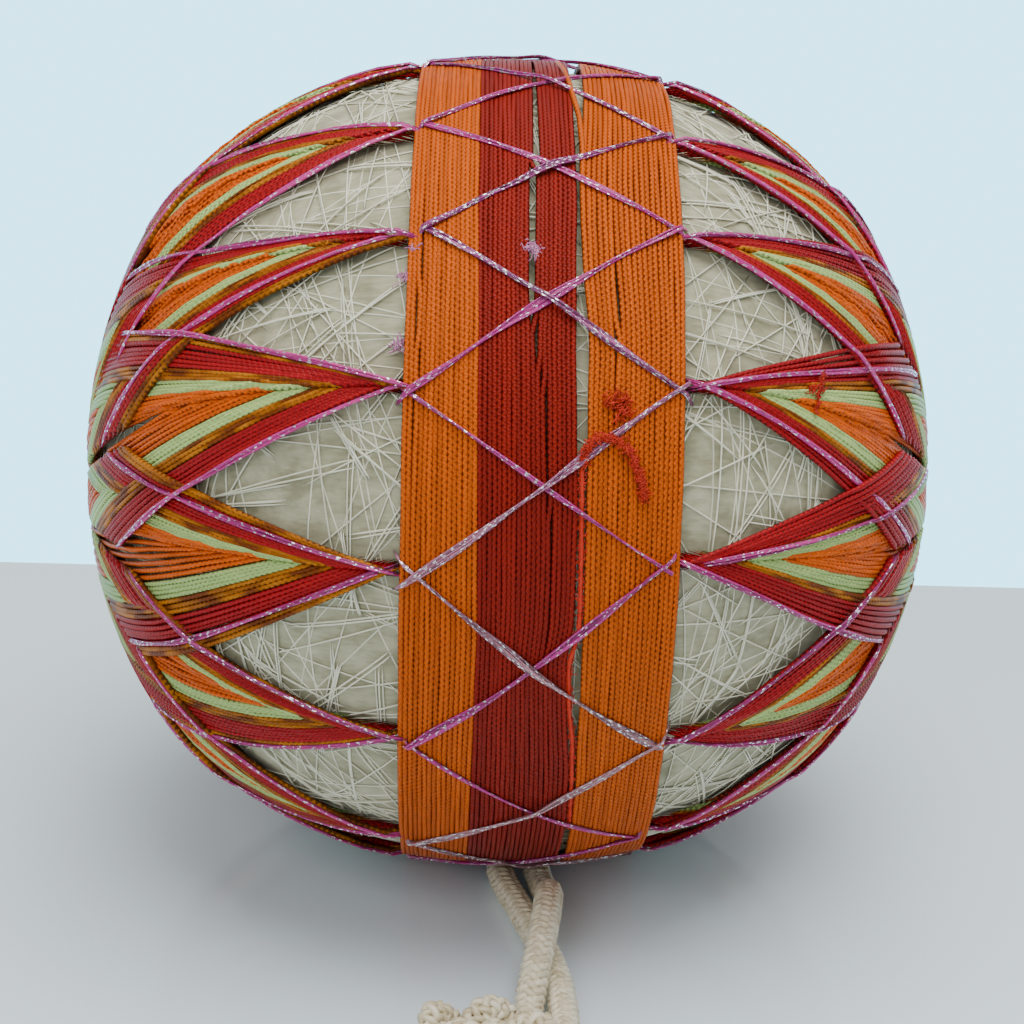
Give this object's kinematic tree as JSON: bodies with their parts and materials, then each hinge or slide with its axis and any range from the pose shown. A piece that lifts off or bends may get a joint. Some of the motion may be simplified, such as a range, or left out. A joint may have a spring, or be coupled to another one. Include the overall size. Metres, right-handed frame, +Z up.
{
  "type": "temari ball",
  "caption": "Ball wound in pale thread, with a banded sash, a zigzag lattice, star flowers on its sides, and a braided hanging cord with a knot and a loop.",
  "frame": {"origin": "on the resting surface, straight under the middle of the ball without its hanging cord", "axes": "+Z up; +X along the ball's pole-to-pole axis, towards the wider side of the sash; -Y towards the side where the hanging cord leaves the ball"},
  "size_m": [0.0908, 0.155, 0.0881],
  "materials": {
    "wound_thread": "fine off-white thread wound at random, with a soft sheen",
    "orange_thread": "glossy orange embroidery thread laid in close rounds",
    "red_thread": "glossy brick-red embroidery thread laid in close rounds",
    "flower_thread": "embroidery thread in orange, sage, ochre brown and dark red, edged in pink metallic",
    "metallic_thread": "magenta and lilac metallic thread with silver glints",
    "cord_braid": "cream braided cord with a satin sheen"
  },
  "bodies": {
    "root": {"wound_ball": "wound_thread", "sash_orange_left": "orange_thread", "sash_red": "red_thread", "sash_orange_right": "orange_thread", "flower_left": "flower_thread", "flower_right": "flower_thread", "lattice_under": "metallic_thread", "lattice_over": "metallic_thread", "cord_leg_under": "cord_braid", "cord_leg_over": "cord_braid", "knot": "cord_braid", "hanging_loop": "cord_braid"}
  },
  "joints": []
}
